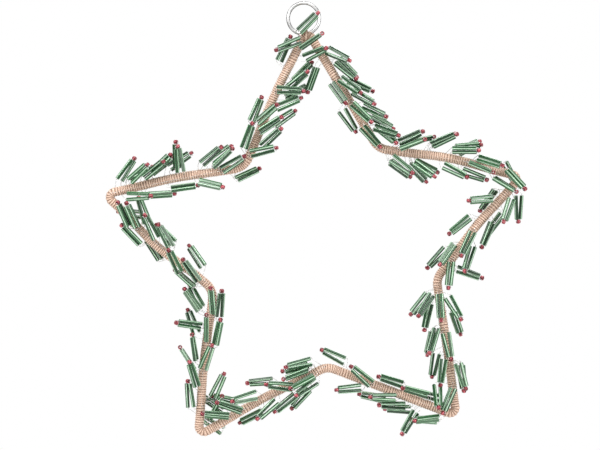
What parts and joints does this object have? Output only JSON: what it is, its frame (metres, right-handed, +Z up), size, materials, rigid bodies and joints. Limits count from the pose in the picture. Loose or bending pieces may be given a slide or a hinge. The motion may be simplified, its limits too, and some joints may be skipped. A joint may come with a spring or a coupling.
{
  "type": "hanging star ornament",
  "caption": "Hanging five-pointed star of twine-wrapped wire with sprigs of green glass bugle beads tipped with red seed beads, on a metal ring.",
  "frame": {"origin": "top of the hanging ring's hole, where a hook carries the star", "axes": "+Z up along the star's height, +X to the right seen from the front, -Y towards the viewer, out of the star's front"},
  "size_m": [0.2085, 0.0219, 0.2182],
  "materials": {
    "twine": "tan jute twine wound closely in fine turns",
    "green_glass": "glossy clear green glass tube beads",
    "red_glass": "glossy red glass seed beads",
    "bead_wire": "fine silver-coloured wire",
    "ring_metal": "polished nickel-plated wire ring"
  },
  "bodies": {
    "root": {"wrapped_frame": "twine", "hanging_ring": "ring_metal", "ring_tie": "twine", "garland_top_right": "green_glass", "garland_right_upper": "green_glass", "garland_right_lower": "green_glass", "garland_lower_right": "green_glass", "garland_bottom_right": "green_glass", "garland_bottom_left": "green_glass", "garland_lower_left": "green_glass", "garland_left_lower": "green_glass", "garland_left_upper": "green_glass", "garland_top_left": "green_glass"}
  },
  "joints": []
}
